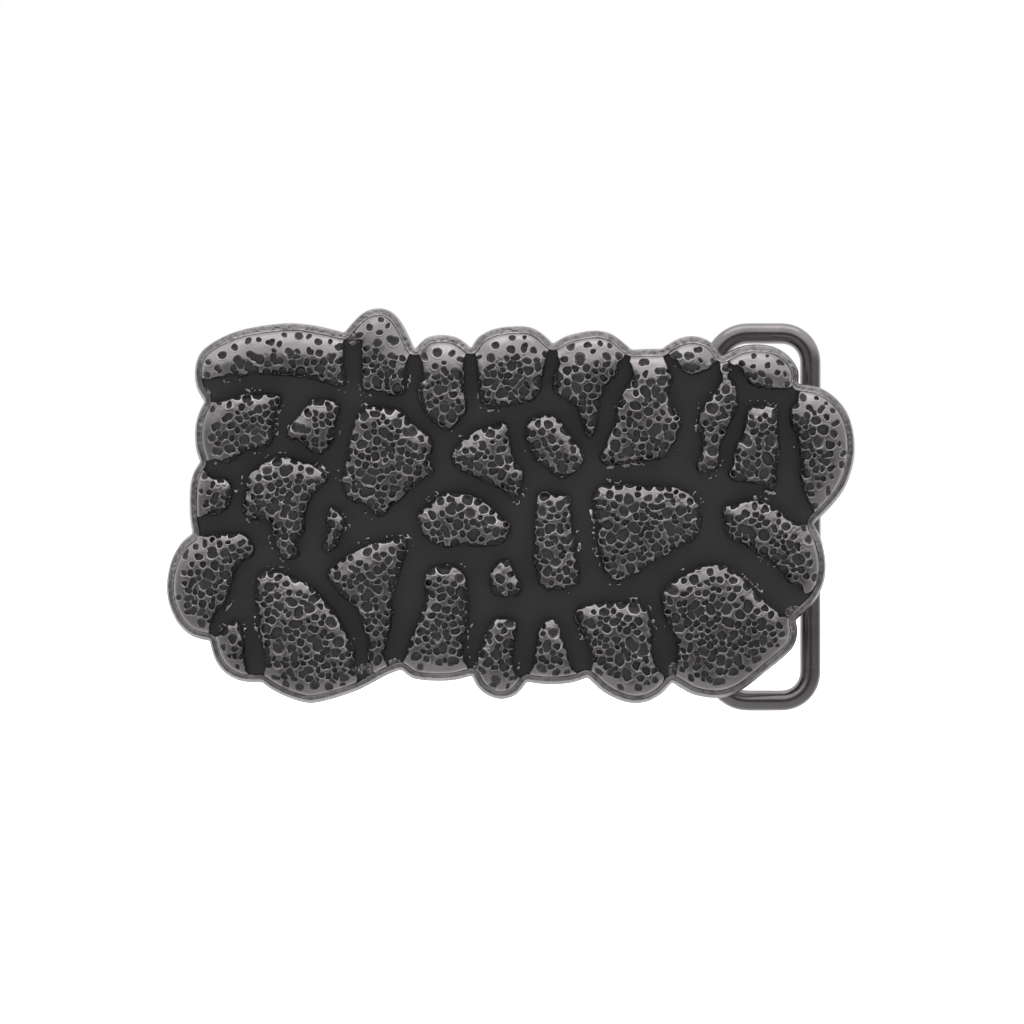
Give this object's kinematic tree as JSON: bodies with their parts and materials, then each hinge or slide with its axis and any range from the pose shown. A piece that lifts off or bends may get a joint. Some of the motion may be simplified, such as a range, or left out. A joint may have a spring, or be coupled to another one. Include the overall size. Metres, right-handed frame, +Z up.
{
  "type": "western plate belt buckle",
  "caption": "Scalloped cast plate buckle with pitted domed stones in black enamel, a hinged wire belt loop and a rear belt hook.",
  "frame": {"origin": "middle of the flat pad's face on the back, on the belt's centre line", "axes": "+Y out of the back, towards the wearer, so the face looks along -Y; +X along the belt towards the loop; +Z up as worn"},
  "size_m": [0.08, 0.0154, 0.0468],
  "materials": {
    "gunmetal_casting": "gunmetal plating over zinc, satin, darker in the pits",
    "black_enamel": "matt black resin enamel",
    "gunmetal_strap": "gunmetal plating, satin",
    "gunmetal_wire": "gunmetal plating, polished"
  },
  "bodies": {
    "buckle_plate": {"face_casting": "gunmetal_casting", "black_enamel": "black_enamel", "hinge_strap": "gunmetal_strap", "hinge_rivet_upper": "gunmetal_strap", "hinge_rivet_lower": "gunmetal_strap", "hook_base": "gunmetal_wire", "hook_pin": "gunmetal_wire"},
    "loop": {"belt_loop": "gunmetal_wire"}
  },
  "joints": [
    {"name": "belt_loop_pivot", "type": "hinge", "parent": "buckle_plate", "child": "loop", "pos_m": [0.0238, 0.00411, 0], "axis": [0, 0, 1], "range_deg": [0, 180]}
  ]
}
